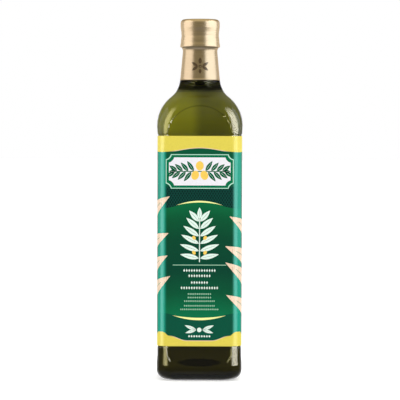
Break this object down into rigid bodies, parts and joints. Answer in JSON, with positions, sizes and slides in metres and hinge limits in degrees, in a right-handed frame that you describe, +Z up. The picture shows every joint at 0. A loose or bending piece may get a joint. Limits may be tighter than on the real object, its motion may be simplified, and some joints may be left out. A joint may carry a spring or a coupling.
{
  "type": "olive oil bottle",
  "caption": "Square glass oil bottle with rounded edges, domed shoulder, slim neck, wrap-round paper label, metal neck sleeve and screw cap, filled with olive oil.",
  "frame": {"origin": "middle of the base, on the surface that the bottle stands on", "axes": "+Z up along the bottle's axis to the cap; -Y to the front of the label; +X to its right seen from the front"},
  "size_m": [0.0678, 0.0678, 0.2862],
  "materials": {
    "bottle_glass": "clear dark olive-green glass, polished",
    "oil": "clear green-gold oil",
    "label_paper": "printed coated paper, satin",
    "gold_metal": "gold-lacquered aluminium, satin"
  },
  "bodies": {
    "root": {"glass_bottle": "bottle_glass", "olive_oil": "oil", "label": "label_paper", "neck_sleeve": "gold_metal", "screw_cap": "gold_metal"}
  },
  "joints": []
}
